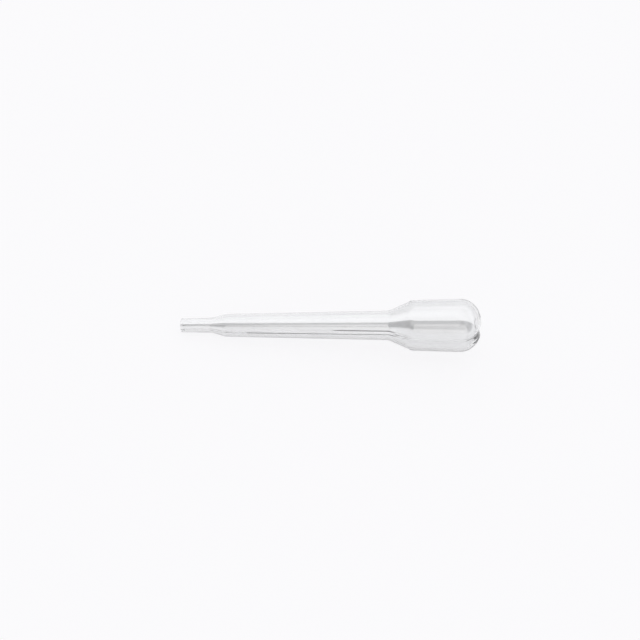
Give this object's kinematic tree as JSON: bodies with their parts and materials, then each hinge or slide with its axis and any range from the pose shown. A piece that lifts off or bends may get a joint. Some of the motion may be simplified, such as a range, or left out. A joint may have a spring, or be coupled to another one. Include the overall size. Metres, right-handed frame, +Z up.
{
  "type": "dropper pipette",
  "caption": "Clear blow-moulded dropper pipette: a squeeze bulb, a tapered stem and a narrow open tip in one thin-walled piece, lying on its side.",
  "frame": {"origin": "on the surface that the pipette lies on, below its middle", "axes": "+X along the pipette from the open tip to the closed bulb, +Y across it, +Z up"},
  "size_m": [0.068, 0.012, 0.0124],
  "materials": {
    "clear_polyethylene": "clear, slightly milky soft plastic, smooth and shiny"
  },
  "bodies": {
    "root": {"pipette": "clear_polyethylene"}
  },
  "joints": []
}
